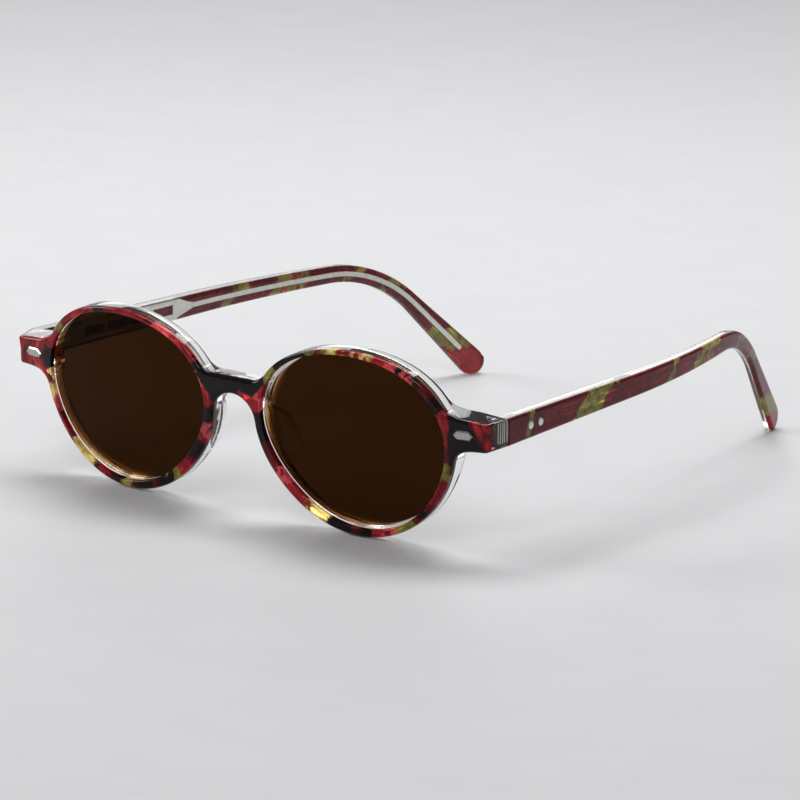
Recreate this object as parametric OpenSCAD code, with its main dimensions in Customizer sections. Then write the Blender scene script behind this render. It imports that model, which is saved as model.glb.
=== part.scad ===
// Round sunglasses with a laminated acetate frame, resting open on a table.
// X runs across the front, Y from the front to the ear tips, Z up from the table.
// The frame stands on the undersides of both rims and on both ear tips.

/* [Lenses] */
// Width of one lens opening
lens_w = 46; // [42:0.5:50]
// Height of one lens opening
lens_h = 38.1; // [35:0.1:41]
// Gap between the two lens openings across the bridge
lens_gap = 16.5; // [15:0.5:20]
// Share by which the opening is flattened above and drawn down below
lens_drop = 0.033; // [0:0.002:0.05]
// Share by which the opening leans towards the nose
lens_lean = 0.022; // [0:0.002:0.04]
// Thickness of a lens
lens_t = 1.9; // [1.6:0.1:2.2]
// Radius of the lens's curved faces
lens_r = 220; // [160:5:400]
// Depth of the lens's face behind the front's face, at the lens centre
lens_set = 0.8; // [0.7:0.05:1]
// Height of the tongue round the lens edge
tongue_d = 0.6; // [0.4:0.05:0.9]
// Thickness of the tongue
tongue_t = 0.8; // [0.6:0.05:1]

/* [Front] */
// Distance from a lens opening to the outer end of the seam with the temple
end_reach = 11.55; // [10.5:0.05:13]
// Distance by which an endpiece's end leans in from the seam to the face
end_bevel = 1.6; // [0.8:0.1:2]
// Radius to which the front is bent
front_r = 440; // [400:10:600]
// Thickness of the patterned outer layer of the front
front_skin_t = 1.2; // [1:0.1:1.5]
// Thickness of the clear inner layer of the front
front_clear_t = 3.5; // [3.3:0.1:3.9]
// Mean width of the rim round a lens
rim_w = 1.75; // [1.6:0.05:2.6]
// Swell of the rim below, towards the nose; the rim is as much narrower opposite
rim_low_w = 0.45; // [0.2:0.05:0.6]
// Swell of the rim at the endpiece and beside the nose; it is as much narrower between them
rim_side_w = 0.36; // [0.2:0.02:0.5]
// Height of the bridge's top above the lens centre line
bridge_top = 9.3; // [8.5:0.1:11]
// Height of the bridge itself
bridge_h = 3.8; // [3:0.1:5]
// Radius of the arch under the bridge
arch_r = 5.9; // [5.6:0.1:6.4]
// Radius that blends the bridge and the endpieces into the rims
blend_r = 4.5; // [3:0.5:5]
// Height of an endpiece and of the temple where they meet
end_h = 5.9; // [5.6:0.1:6.4]
// Height of the endpiece's middle above the lens centre line
end_z = 4.4; // [4:0.1:5.2]
// Distance from the back of the rim to the seam between endpiece and temple
end_step = 0.9; // [0.6:0.1:2]
// Length of the thick block behind an endpiece that holds the hinge
block_l = 9; // [8:0.5:10]

/* [Temples] */
// Height of a temple at the ear bend
bend_h = 4; // [3.8:0.1:5]
// Thickness of the patterned outer layer of a temple
temple_skin_t = 1; // [0.9:0.1:1.2]
// Thickness of the clear inner layer of a temple at the hinge
temple_clear_t = 2.9; // [2.7:0.1:3.2]
// Thickness of the clear inner layer of a temple at the tip
tip_clear_t = 1.6; // [1.6:0.1:2.4]
// Length of a temple from the hinge to the ear bend
temple_l = 94; // [86:1:100]
// Radius of the ear bend at the middle of the temple
bend_r = 34; // [26:1:38]
// Angle of the ear bend
bend_a = 44.5; // [36:0.5:48]
// Length from the ear bend to the centre of the round tip
drop_l = 24.7; // [22:0.1:32]
// Radius of the round tip
tip_r = 3.2; // [2.8:0.1:4]
// Distance behind the hinge where the temple starts to curve inwards
bow_start = 48; // [46:1:56]
// Radius to which the temple curves inwards
bow_r = 240; // [200:5:300]
// Angle through which the temple curves inwards before it runs straight to its tip
bow_a = 15; // [10:1:20]
// Angle by which an open temple leans inwards
toe_in = 2.6; // [2:0.1:4]
// Angle between the temples and the square of the front
panto_a = 5.6; // [4:0.1:8]

/* [Hinges] */
// Radius of a hinge barrel
barrel_r = 1.25; // [1.1:0.05:1.3]
// Number of barrels on one hinge, shared by its two leaves
barrel_n = 5; // [5:2:7]
// Height of the stack of barrels
stack_h = 4.6; // [4.2:0.1:5]
// Height of the leaves
leaf_h = 4.2; // [4:0.1:4.6]
// Thickness of the leaf on the temple
leaf_t = 1.1; // [0.9:0.1:1.3]
// Length of the leaf on the temple
leaf_l = 13.2; // [13:0.1:13.5]
// Depth of the ribbed anchor in the endpiece
anchor_d = 3; // [2.6:0.1:3.2]
// Thickness of the ribbed anchor
anchor_t = 1.8; // [1.6:0.1:2]
// Radius of the ribs on the anchor
anchor_rib_r = 0.25; // [0.2:0.05:0.3]
// Number of ribs on each side of the anchor
anchor_rib_n = 3; // [2:1:4]
// Radius of the hinge screw
screw_r = 0.6; // [0.5:0.05:0.7]
// Radius of the screw's head
screw_head_r = 0.92; // [0.85:0.01:1]
// Height of the screw's head
screw_head_h = 0.45; // [0.4:0.05:0.55]

/* [Core, rivets and plaques] */
// Thickness of the flat head of the core wire
core_t = 0.8; // [0.6:0.1:0.9]
// Height of the flat head of the core wire
core_h = 4.4; // [4:0.1:4.6]
// Length of the straight part of the core's head
core_l = 39; // [38:0.5:41]
// Length of the core's tapered shoulder
core_shoulder = 6; // [4:0.5:8]
// Number of windows in the core's head
window_n = 4; // [2:1:4]
// Length of a window
window_l = 6.6; // [5:0.2:7]
// Height of a window
window_h = 2.2; // [1.6:0.1:2.6]
// Width of the wire behind the core's head
wire_w = 1.1; // [0.9:0.1:1.2]
// Radius of a temple rivet's shank
rivet_r = 0.5; // [0.4:0.05:0.6]
// Radius of a temple rivet's head
rivet_head_r = 0.85; // [0.7:0.05:0.95]
// Distance from the hinge to the first rivet
rivet_start = 8.1; // [7.5:0.1:8.5]
// Distance between the two rivets
rivet_gap = 3.7; // [3.4:0.1:3.8]
// Length of a front plaque
plaque_w = 4.8; // [4:0.1:5.5]
// Height of a front plaque
plaque_h = 2.1; // [1.6:0.1:2.4]
// Distance of a plaque's middle from the outer end of the seam
plaque_in = 6.9; // [6.5:0.1:7.5]
// Height of a plaque's middle above the lens centre line
plaque_z = 4.8; // [4:0.1:5.5]
// Thickness of a plaque
plaque_t = 0.6; // [0.4:0.05:0.7]

/* [Nose pads] */
// Depth of a pad behind the front
pad_d = 5.4; // [4:0.1:6]
// Height of a pad
pad_h = 13; // [11:0.5:14]
// Radius of a pad's rounded edge
pad_r = 1.1; // [0.9:0.1:1.3]
// Height of the centre of a pad's upper edge above the lens centre line
pad_top = 2.5; // [1.5:0.1:3.5]

/* [Fits] */
// Gap between an open temple and its endpiece
joint_gap = 0.08; // [0.05:0.01:0.15]
// Radial gap between the screw and the barrels
screw_gap = 0.03; // [0.02:0.01:0.06]
// Gap between neighbouring barrels
barrel_gap = 0.06; // [0.04:0.01:0.1]
// Gap round the barrels in the acetate
barrel_room = 0.12; // [0.08:0.01:0.2]
// Gap round the lens in its groove
lens_room = 0.05; // [0.03:0.01:0.08]
// Gap round the pins of rivets and plaques
pin_room = 0.02; // [0.01:0.01:0.04]

/* [Hidden] */

skin_colour = "firebrick";
clear_colour = "gainsboro";
lens_colour = "saddlebrown";
metal_colour = "silver";

round_steps = 96;
smooth_fn = 360;
small_fn = 40;
far = 60;

lens_x = (lens_gap + lens_w) / 2;
end_x = lens_gap / 2 + lens_w + end_reach;
plaque_x = end_x - plaque_in;
front_t = front_skin_t + front_clear_t;
temple_t = temple_skin_t + temple_clear_t;
joint_y = sag(end_x) + front_t + end_step;

// Place of the hinge's axis, from the outer front corner of the temple
axis_inset = 0.2;
axis_x = -temple_t - axis_inset;
barrel_h = stack_h / barrel_n;
leaf_start = barrel_r + 0.1;
anchor_out = 1.6;

// Outlines of the front are stood up between these depths, clear of both its faces
before_front = -2;
past_front = joint_y + front_t;

// Depth of the core's flat head below the temple's outer face: it lies on the leaf
core_in = temple_t - leaf_t - core_t;
tip_t = temple_skin_t + tip_clear_t;
core_start = 5;
window_start = core_start + 1.3 * window_l;
window_pitch = (core_start + core_l - window_start) / window_n;
wire_in = core_in + (core_t - wire_w) / 2;
wire_tip_in = temple_skin_t + (tip_clear_t - wire_w) / 2;
wire_end = 6;

// Depth of the bend of the front at a distance from its middle
function sag(x) = front_r - sqrt(front_r * front_r - x * x);

// Point on the lens opening, from the lens centre
function lens_point(a) =
    let (m = 1 + lens_drop * sin(3 * a) - lens_lean * sin(2 * a) - lens_lean / 2 * cos(3 * a))
    [lens_w / 2 * m * cos(a), lens_h / 2 * m * sin(a)];

// Direction square to the opening, pointing away from the lens
function lens_normal(a) =
    let (d = lens_point(a + 0.5) - lens_point(a - 0.5))
    [d[1], -d[0]] / norm(d);

// The rim is heaviest below and beside the nose, and lightest on top
function rim_width(a) = rim_w + rim_low_w * cos(a - 243) + rim_side_w * cos(2 * (a - 28));

function lens_outline(grow) = [for (i = [0 : round_steps - 1])
    let (a = 360 * i / round_steps) lens_point(a) + grow * lens_normal(a)];

function rim_outline() = [for (i = [0 : round_steps - 1])
    let (a = 360 * i / round_steps) lens_point(a) + rim_width(a) * lens_normal(a)];

// Rest: the line under the rims' front edges and the round ear tips lies on the table
rim_low = min([for (p = rim_outline()) p[1]]);
rim_high = max([for (p = rim_outline()) p[1]]);
tip_side = [temple_l + bend_r * sin(bend_a) + drop_l * cos(bend_a),
            -bend_r * (1 - cos(bend_a)) - drop_l * sin(bend_a)];
tip_y = joint_y + tip_side[0] * cos(panto_a) + tip_side[1] * sin(panto_a);
tip_z = end_z - tip_side[0] * sin(panto_a) + tip_side[1] * cos(panto_a);
rest_dy = tip_y - sag(lens_x);
rest_dz = tip_z - rim_low;
rest_a = asin(tip_r / norm([rest_dy, rest_dz])) - atan2(rest_dz, rest_dy);
rest_z = -(sag(lens_x) * sin(rest_a) + rim_low * cos(rest_a));
front_y = sag(lens_x) * cos(rest_a) - rim_high * sin(rest_a);
back_y = tip_y * cos(rest_a) - tip_z * sin(rest_a) + tip_r;
rest_y = -(front_y + back_y) / 2;

module at_rest() {
    translate([0, rest_y, rest_z]) rotate([rest_a, 0, 0]) children();
}

// Builds a piece of the right side, or its mirror image on the left
module on_side(side) {
    at_rest() mirror([side < 0 ? 1 : 0, 0, 0]) children();
}

// Frame of an open temple: Y runs along it from the joint, Z along the hinge
module at_joint() {
    translate([end_x, joint_y, end_z]) rotate([-panto_a, 0, 0]) rotate([0, 0, toe_in]) children();
}

// Frame of the hinge's axis, at the foot of the barrels
module at_axis() {
    translate([axis_x, 0, -stack_h / 2]) children();
}

// Space between two cylinders that follow the bend of the front
module bent_layer(near, depth) {
    translate([0, front_r, -far]) difference() {
        cylinder(r = front_r - near, h = 2 * far, $fn = smooth_fn);
        translate([0, 0, -1]) cylinder(r = front_r - depth, h = 2 * far + 2, $fn = smooth_fn);
    }
}

// Stands an outline of the front up along Y
module stand_up(from, to) {
    translate([0, to, 0]) rotate([90, 0, 0]) linear_extrude(to - from) children();
}

module bridge_outline() {
    arch_z = bridge_top - bridge_h - arch_r;
    difference() {
        translate([-lens_gap * 0.68, arch_z]) square([lens_gap * 1.36, bridge_top - arch_z]);
        translate([0, arch_z]) circle(r = arch_r, $fn = round_steps);
    }
}

module endpiece_outline() {
    root_x = lens_x + lens_w / 2 + 0.26 * end_reach;
    rise = 0.12 * end_h;
    polygon([[root_x - 0.7 * end_reach, end_z + end_h], [root_x, end_z + end_h / 2 + rise],
             [end_x, end_z + end_h / 2], [end_x, end_z - end_h / 2],
             [root_x, end_z - end_h / 2 - rise], [root_x - 0.52 * end_reach, -end_h / 2]]);
}

// Outline of the whole front without its openings
module front_outline() {
    offset(r = -blend_r, $fn = 64) offset(r = blend_r, $fn = 64) {
        bridge_outline();
        for (side = [0, 1]) mirror([side, 0]) {
            translate([lens_x, 0]) polygon(rim_outline());
            endpiece_outline();
        }
    }
}

module front_openings(grow) {
    for (side = [0, 1]) mirror([side, 0]) translate([lens_x, 0]) polygon(lens_outline(grow));
}

// Spherical skin of a lens between two depths behind its face
module lens_layer(near, depth) {
    tilt = asin(lens_x / front_r);
    translate([lens_x, sag(lens_x), 0]) rotate([0, 0, tilt]) translate([0, lens_set + lens_r, 0])
        difference() {
            sphere(r = lens_r - near, $fn = 240);
            sphere(r = lens_r - depth, $fn = 240);
        }
}

// One lens outline, grown by a margin and stood up through the front
module lens_prism(grow) {
    stand_up(before_front, past_front) translate([lens_x, 0]) polygon(lens_outline(grow));
}

// Tongue round the lens edge; the groove in the rim is the same shape with room round it
module lens_tongue(room) {
    intersection() {
        lens_prism(tongue_d + room);
        lens_layer((lens_t - tongue_t) / 2 - room, (lens_t + tongue_t) / 2 + room);
    }
}

module lens() {
    color(lens_colour, 0.8) {
        intersection() {
            lens_prism(-lens_room);
            lens_layer(0, lens_t);
        }
        lens_tongue(0);
    }
}

// Pins of the plaque, or the holes for them
module plaque_pins(room) {
    pin_l = 2.4;
    pin_r = 0.45;
    root = plaque_t / 2;
    for (side = [-1, 1]) translate([side * plaque_w / 4, -root, 0]) rotate([-90, 0, 0])
        cylinder(r = pin_r + room, h = root + pin_l + room, $fn = small_fn);
}

// Frame on the face of the front, at the middle of the plaque
module at_plaque() {
    translate([plaque_x, sag(plaque_x), plaque_z]) rotate([0, 0, asin(plaque_x / front_r)]) children();
}

function plaque_points(inset) = let (w = plaque_w / 2 - inset, h = plaque_h / 2 - inset)
    [[-w, 0], [h - w, -h], [w - h, -h], [w, 0], [w - h, h], [h - w, h]];

// Raised bar with pointed ends and a bevel all round, riveted through the face by two pins
module plaque() {
    bevel = 0.3;
    color(metal_colour) {
        at_plaque() {
            hull() {
                stand_up(-plaque_t + bevel, 0) polygon(plaque_points(0));
                stand_up(-plaque_t, 0) polygon(plaque_points(bevel));
            }
            plaque_pins(0);
        }
    }
}

// Block of the front's outline, with both ends cut so that they lean in towards the face
module front_block() {
    face_y = sag(end_x - end_bevel);
    difference() {
        stand_up(before_front, past_front) front_outline();
        for (side = [0, 1]) mirror([side, 0, 0]) translate([0, 0, -far / 2]) linear_extrude(far)
            polygon([[end_x, joint_y], [end_x - end_bevel, face_y], [end_x - end_bevel, 2 * before_front],
                     [end_x + far, 2 * before_front], [end_x + far, joint_y]]);
    }
}

// The two lens openings, cut right through the front
module lens_holes() {
    stand_up(before_front - 1, past_front + 1) front_openings(0);
}

module front_skin() {
    color(skin_colour) at_rest() difference() {
        intersection() {
            front_block();
            bent_layer(0, front_skin_t);
        }
        lens_holes();
        for (side = [0, 1]) mirror([side, 0, 0]) at_plaque() plaque_pins(pin_room);
    }
}

// Thick block behind an endpiece, cut flat where the temple butts against it
module end_block() {
    slope = block_l / 3;
    step = slope / 2;
    past = end_bevel + 1;
    before = -front_t - front_skin_t;
    at_joint() translate([0, 0, -far / 2]) linear_extrude(far)
        polygon([[-block_l - slope, before], [-block_l - slope, -step], [-block_l, 0], [past, 0], [past, before]]);
}

module front_clear() {
    color(clear_colour, 0.5) at_rest() difference() {
        intersection() {
            front_block();
            union() {
                difference() {
                    bent_layer(front_skin_t, front_t);
                    for (side = [0, 1]) mirror([side, 0, 0]) at_joint()
                        translate([-block_l, 0, -far / 2]) cube([2 * block_l, front_t, far]);
                }
                intersection() {
                    bent_layer(front_skin_t, past_front);
                    for (side = [0, 1]) mirror([side, 0, 0]) end_block();
                }
            }
        }
        lens_holes();
        for (side = [0, 1]) mirror([side, 0, 0]) {
            lens_tongue(lens_room);
            at_plaque() plaque_pins(pin_room);
            at_joint() {
                anchor(far);
                front_leaf();
                barrel_space();
            }
        }
    }
}

// Round space for the barrels, in the endpiece and in the temple
module barrel_space() {
    at_axis() translate([0, 0, -barrel_room])
        cylinder(r = barrel_r + barrel_room, h = stack_h + 2 * barrel_room, $fn = small_fn);
}

// Every second barrel of the stack, from the first one given, or the room for them
module barrels(first, room) {
    gap = room > 0 ? -barrel_gap : barrel_gap;
    at_axis() for (i = [first : 2 : barrel_n - 1])
        translate([0, 0, i * barrel_h + gap / 2])
            cylinder(r = barrel_r + room, h = barrel_h - gap, $fn = small_fn);
}

// Webs that join those barrels to their leaf
module webs(first, from, to) {
    at_axis() for (i = [first : 2 : barrel_n - 1])
        translate([from[0], from[1], i * barrel_h + barrel_gap / 2])
            cube([to[0] - from[0], to[1] - from[1], barrel_h - barrel_gap]);
}

// Hole for the screw, with the recess for its head in the top barrel
module screw_bore() {
    at_axis() {
        translate([0, 0, -1]) cylinder(r = screw_r + screw_gap, h = stack_h + 2, $fn = small_fn);
        translate([0, 0, stack_h - screw_head_h - barrel_gap])
            cylinder(r = screw_head_r + screw_gap, h = 2, $fn = small_fn);
    }
}

// Ribbed block sunk into the endpiece; its recess also runs past the seam
module anchor(past) {
    left = -anchor_out - anchor_t;
    rib_pitch = anchor_d / (anchor_rib_n + 1);
    translate([left, -anchor_d, -leaf_h / 2]) cube([anchor_t, anchor_d + past, leaf_h]);
    for (x = [left, -anchor_out], i = [1 : anchor_rib_n])
        translate([x, -i * rib_pitch, -leaf_h / 2]) cylinder(r = anchor_rib_r, h = leaf_h, $fn = small_fn);
}

// Leaf of the front: anchor, outer and middle barrels, and the webs between them
module front_leaf() {
    difference() {
        union() {
            difference() {
                anchor(0);
                barrels(1, barrel_room);
            }
            barrels(0, 0);
            webs(0, [0, -1.05], [axis_inset + temple_t - anchor_out - anchor_t + 0.1, -0.05]);
        }
        screw_bore();
    }
}

module front_hinge() {
    color(metal_colour) at_joint() front_leaf();
}

// Leaf of the temple: flat plate, two barrels and their webs
module temple_leaf() {
    difference() {
        union() {
            translate([-temple_t, leaf_start, -leaf_h / 2]) cube([leaf_t, leaf_l - leaf_start, leaf_h]);
            barrels(1, 0);
            webs(1, [0, 0], [axis_inset + leaf_t - 0.1, leaf_start + 0.1]);
        }
        screw_bore();
    }
}

module temple_hinge() {
    color(metal_colour) at_joint() difference() {
        temple_leaf();
        rivet_shanks(pin_room);
    }
}

// Slotted screw through all the barrels
module hinge_screw() {
    slot_w = 0.26;
    head_z = stack_h - screw_head_h - barrel_gap / 2;
    color(metal_colour) at_joint() at_axis() difference() {
        union() {
            translate([0, 0, barrel_gap / 2]) cylinder(r = screw_r, h = stack_h - barrel_gap, $fn = small_fn);
            translate([0, 0, head_z - barrel_gap / 4]) cylinder(r = screw_head_r, h = screw_head_h, $fn = small_fn);
        }
        translate([-slot_w / 2, -barrel_r, head_z + screw_head_h / 2])
            cube([slot_w, 2 * barrel_r, screw_head_h]);
    }
}

// Plan of one edge of a strip of the temple, at a depth below the outer face that
// changes evenly along the curve, with the straight run to the tip
function plan_edge(depth, tip_depth) =
    let (n = 20, tail = far, r_tip = bow_r - tip_depth)
    [for (i = [0 : n]) let (a = bow_a * i / n, r = bow_r - depth - (tip_depth - depth) * i / n)
         [r * cos(a) - bow_r, bow_start + r * sin(a)],
     [r_tip * cos(bow_a) - bow_r - tail * sin(bow_a), bow_start + r_tip * sin(bow_a) + tail * cos(bow_a)]];

function reversed(points) = [for (i = [len(points) - 1 : -1 : 0]) points[i]];

// Plan of a strip between two depths, each given at the hinge and at the tip
function temple_plan(near, depth, tip_near, tip_depth, from) =
    concat([[-near, from]], plan_edge(near, tip_near), reversed(plan_edge(depth, tip_depth)), [[-depth, from]]);

// Side outline along the temple: a run that narrows to the ear bend, the drop and a round end
function temple_side(h, narrow_h, end_r, from, drop) =
    let (end = [temple_l + bend_r * sin(bend_a) + drop * cos(bend_a),
                -bend_r * (1 - cos(bend_a)) - drop * sin(bend_a)])
    [[from, h / 2],
     for (i = [0 : 12]) let (a = bend_a * i / 12, r = bend_r + narrow_h / 2)
         [temple_l + r * sin(a), r * cos(a) - bend_r],
     for (i = [0 : 16]) let (a = 90 - bend_a - 180 * i / 16) end + end_r * [cos(a), sin(a)],
     for (i = [12 : -1 : 0]) let (a = bend_a * i / 12, r = bend_r - narrow_h / 2)
         [temple_l + r * sin(a), r * cos(a) - bend_r],
     [from, -h / 2]];

// Stands a side outline of the temple up across X
module side_slab(points) {
    translate([-far, 0, 0]) rotate([90, 0, 90]) linear_extrude(far + temple_t) polygon(points);
}

// One layer of the temple: the side outline cut from a strip that is bent in plan
module temple_layer(plan, side) {
    intersection() {
        side_slab(side);
        translate([0, 0, -far]) linear_extrude(2 * far) polygon(plan);
    }
}

function whole_side() = temple_side(end_h, bend_h, tip_r, joint_gap, drop_l);

module rivet_shanks(room) {
    for (i = [0, 1]) translate([-temple_t, rivet_start + i * rivet_gap, 0]) rotate([0, 90, 0])
        cylinder(r = rivet_r + room, h = temple_t, $fn = small_fn);
}

module temple_rivets() {
    head_h = 0.25;
    peen_r = 0.75;
    peen_h = 0.15;
    color(metal_colour) at_joint() {
        rivet_shanks(0);
        for (i = [0, 1]) translate([0, rivet_start + i * rivet_gap, 0]) rotate([0, 90, 0]) {
            cylinder(r = rivet_head_r, h = head_h, $fn = small_fn);
            translate([0, 0, -temple_t - peen_h]) cylinder(r = peen_r, h = peen_h, $fn = small_fn);
        }
    }
}

// Flat head with windows, tapering into the wire
module core_head() {
    shoulder_y = core_start + core_l;
    translate([-core_in - core_t, 0, 0]) rotate([90, 0, 90]) linear_extrude(core_t) difference() {
        polygon([[core_start, core_h / 2], [shoulder_y, core_h / 2], [shoulder_y + core_shoulder, wire_w / 2],
                 [shoulder_y + core_shoulder, -wire_w / 2], [shoulder_y, -core_h / 2], [core_start, -core_h / 2]]);
        for (i = [0 : window_n - 1])
            translate([window_start + i * window_pitch, -window_h / 2]) square([window_l, window_h]);
    }
}

module core() {
    wire_start = core_start + core_l + core_shoulder - 0.5;
    core_head();
    temple_layer(temple_plan(wire_in, wire_in + wire_w, wire_tip_in, wire_tip_in + wire_w, wire_start),
                 temple_side(wire_w, wire_w, wire_w / 2, wire_start, drop_l - wire_end));
}

module core_wire() {
    color(metal_colour) at_joint() difference() {
        core();
        rivet_shanks(pin_room);
    }
}

module temple_skin() {
    color(skin_colour) at_joint() difference() {
        temple_layer(temple_plan(0, temple_skin_t, 0, temple_skin_t, joint_gap), whole_side());
        rivet_shanks(pin_room);
    }
}

module temple_clear() {
    color(clear_colour, 0.5) at_joint() difference() {
        temple_layer(temple_plan(temple_skin_t, temple_t, temple_skin_t, tip_t, joint_gap), whole_side());
        rivet_shanks(pin_room);
        core();
        temple_leaf();
        barrel_space();
    }
}

// Clear pad that swells out of the back of the rim beside the nose
module nose_pad() {
    near = lens_gap / 2;
    back = sag(near) + front_t;
    root = back - 0.9 * pad_r;
    spots = [[near - 0.16 * pad_d, root, pad_top],
             [near + 0.08 * pad_d, back + 0.62 * pad_d, pad_top - 0.18 * pad_h],
             [near + 0.34 * pad_d, back + pad_d - pad_r, pad_top - 0.5 * pad_h],
             [near + 0.66 * pad_d, back + 0.78 * pad_d, pad_top - 0.85 * pad_h],
             [near + 0.62 * pad_d, root, pad_top - pad_h],
             [near + 0.03 * pad_d, root, pad_top - 0.45 * pad_h]];
    color(clear_colour, 0.5) intersection() {
        hull() for (p = spots) translate(p) sphere(r = pad_r, $fn = 24);
        translate([0, front_r, -far]) cylinder(r = front_r - front_t, h = 2 * far, $fn = smooth_fn);
    }
}

front_skin();
front_clear();
on_side(1) lens();  // lens_right
on_side(-1) lens();  // lens_left
on_side(1) nose_pad();  // nose_pad_right
on_side(-1) nose_pad();  // nose_pad_left
on_side(1) plaque();  // plaque_right
on_side(-1) plaque();  // plaque_left
on_side(1) front_hinge();  // front_hinge_right
on_side(-1) front_hinge();  // front_hinge_left
on_side(1) temple_hinge();  // temple_hinge_right
on_side(-1) temple_hinge();  // temple_hinge_left
on_side(1) hinge_screw();  // hinge_screw_right
on_side(-1) hinge_screw();  // hinge_screw_left
on_side(1) temple_skin();  // temple_skin_right
on_side(-1) temple_skin();  // temple_skin_left
on_side(1) temple_clear();  // temple_clear_right
on_side(-1) temple_clear();  // temple_clear_left
on_side(1) core_wire();  // core_wire_right
on_side(-1) core_wire();  // core_wire_left
on_side(1) temple_rivets();  // temple_rivets_right
on_side(-1) temple_rivets();  // temple_rivets_left
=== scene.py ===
import math

import bmesh
import bpy
import numpy as np
from mathutils import Matrix, Vector
from mathutils.geometry import delaunay_2d_cdt


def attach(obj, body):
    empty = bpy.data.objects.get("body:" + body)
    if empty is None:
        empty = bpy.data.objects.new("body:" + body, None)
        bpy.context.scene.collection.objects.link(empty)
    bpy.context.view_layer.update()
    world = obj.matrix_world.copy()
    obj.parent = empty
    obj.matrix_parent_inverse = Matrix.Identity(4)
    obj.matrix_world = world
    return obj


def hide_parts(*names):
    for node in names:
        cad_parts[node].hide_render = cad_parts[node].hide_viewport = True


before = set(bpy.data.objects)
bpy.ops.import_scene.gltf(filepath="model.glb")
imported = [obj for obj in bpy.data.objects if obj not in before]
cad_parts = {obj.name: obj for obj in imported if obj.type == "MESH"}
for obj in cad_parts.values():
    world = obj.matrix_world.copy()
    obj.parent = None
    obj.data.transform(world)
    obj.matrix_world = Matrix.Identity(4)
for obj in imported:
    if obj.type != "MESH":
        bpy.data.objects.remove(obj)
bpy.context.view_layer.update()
scene = bpy.context.scene

# Sizes of the sunglasses in millimetres, the same as in the CAD source
LENS_W, LENS_H, LENS_GAP = 46.0, 38.1, 16.5
LENS_DROP, LENS_LEAN = 0.033, 0.022
LENS_X = (LENS_GAP + LENS_W) / 2
FRONT_W, FRONT_R = 131.6, 440.0
FRONT_SKIN, FRONT_CLEAR = 1.2, 3.5
FRONT_T = FRONT_SKIN + FRONT_CLEAR
END_H, END_Z, END_STEP, BLOCK_L, BLOCK_SLOPE = 5.9, 4.4, 0.9, 9.0, 3.0
END_BEVEL, END_TAPER = 1.6, 0.083
ARCH_TOP = 5.5
BEND_H, TEMPLE_SKIN, TEMPLE_CLEAR, TIP_CLEAR = 4.0, 1.0, 2.9, 1.6
TEMPLE_T = TEMPLE_SKIN + TEMPLE_CLEAR
TEMPLE_L, BEND_R, BEND_A, DROP_L, TIP_R = 94.0, 34.0, math.radians(44.5), 24.7, 3.2
BOW_START, BOW_R, BOW_A = 48.0, 240.0, math.radians(15)
TOE_IN, PANTO = math.radians(2.6), math.radians(5.6)
JOINT_GAP = 0.08
REST_A, REST_Y, REST_Z = math.radians(6.98547), -73.9602, 21.3289
STACK_H, BARREL_R, BARREL_ROOM = 4.6, 1.25, 0.12
AXIS_X = -TEMPLE_T - 0.2
RIB_PITCH = 0.75
LENS_T, LENS_R, LENS_SET, LENS_ROOM, TONGUE_D, TONGUE_T = 1.9, 220.0, 0.8, 0.05, 0.6, 0.8
RIVET_R, RIVET_HEAD_R, RIVET_START, RIVET_GAP = 0.5, 0.85, 8.1, 3.7
HEAD_H, PEEN_R, PEEN_H = 0.25, 0.75, 0.15

# Rounded edges of the acetate layers, which the CAD solids don't have, in millimetres
FACE_ROUND, BACK_ROUND, SEAM_ROUND, RIM_KEPT = 0.9, 0.65, 0.12, 0.48
HOLE_ROUND, HOLE_BACK_ROUND = 0.3, 0.35
TEMPLE_ROUND, TIP_ROUND, TIP_FROM, TIP_TO, TEMPLE_FLAT = 0.55, 1.0, 70, 118, 0.14
LAYER_INSET, LAYER_PLAY = 0.04, 0.03
# Shares of the free room that the front's edges may take, and where its flats start, in radii
FACE_SHARE, BACK_SHARE, FACE_FLAT, BACK_FLAT = 0.86, 0.8, 1.16, 1.2
# Steps of the meshes in millimetres, and the angle in degrees from which an edge stays sharp
EDGE_STEP, CAP_STEP, SHARP = 0.42, 1.4, 32


def sag(x, depth=0.0):
    """How far the front's wrap sets a surface back at x, for a depth below the face."""
    return FRONT_R - np.sqrt((FRONT_R - depth) ** 2 - np.asarray(x) ** 2)


END_X = FRONT_W / 2
JOINT_Y = float(sag(END_X)) + FRONT_T + END_STEP


def turn(axis, angle):
    """Rotation about an axis as a matrix."""
    return np.array(Matrix.Rotation(angle, 3, axis))


REST = turn("X", REST_A)
JOINT = turn("X", -PANTO) @ turn("Z", TOE_IN)


def front_to_table(p):
    """Points of the front's own frame, in mm, to the resting frame in metres."""
    return (np.asarray(p) @ REST.T + [0, REST_Y, REST_Z]) / 1000


def table_to_front(p):
    """The way back: metres on the table to the front's own frame in mm."""
    return (np.asarray(p) * 1000 - [0, REST_Y, REST_Z]) @ REST


def joint_to_table(p, side):
    """Points of the open temple's frame to the resting frame; side is 1 or -1."""
    return front_to_table((np.asarray(p) @ JOINT.T + [END_X, JOINT_Y, END_Z]) * [side, 1, 1])


# ---- materials


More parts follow.
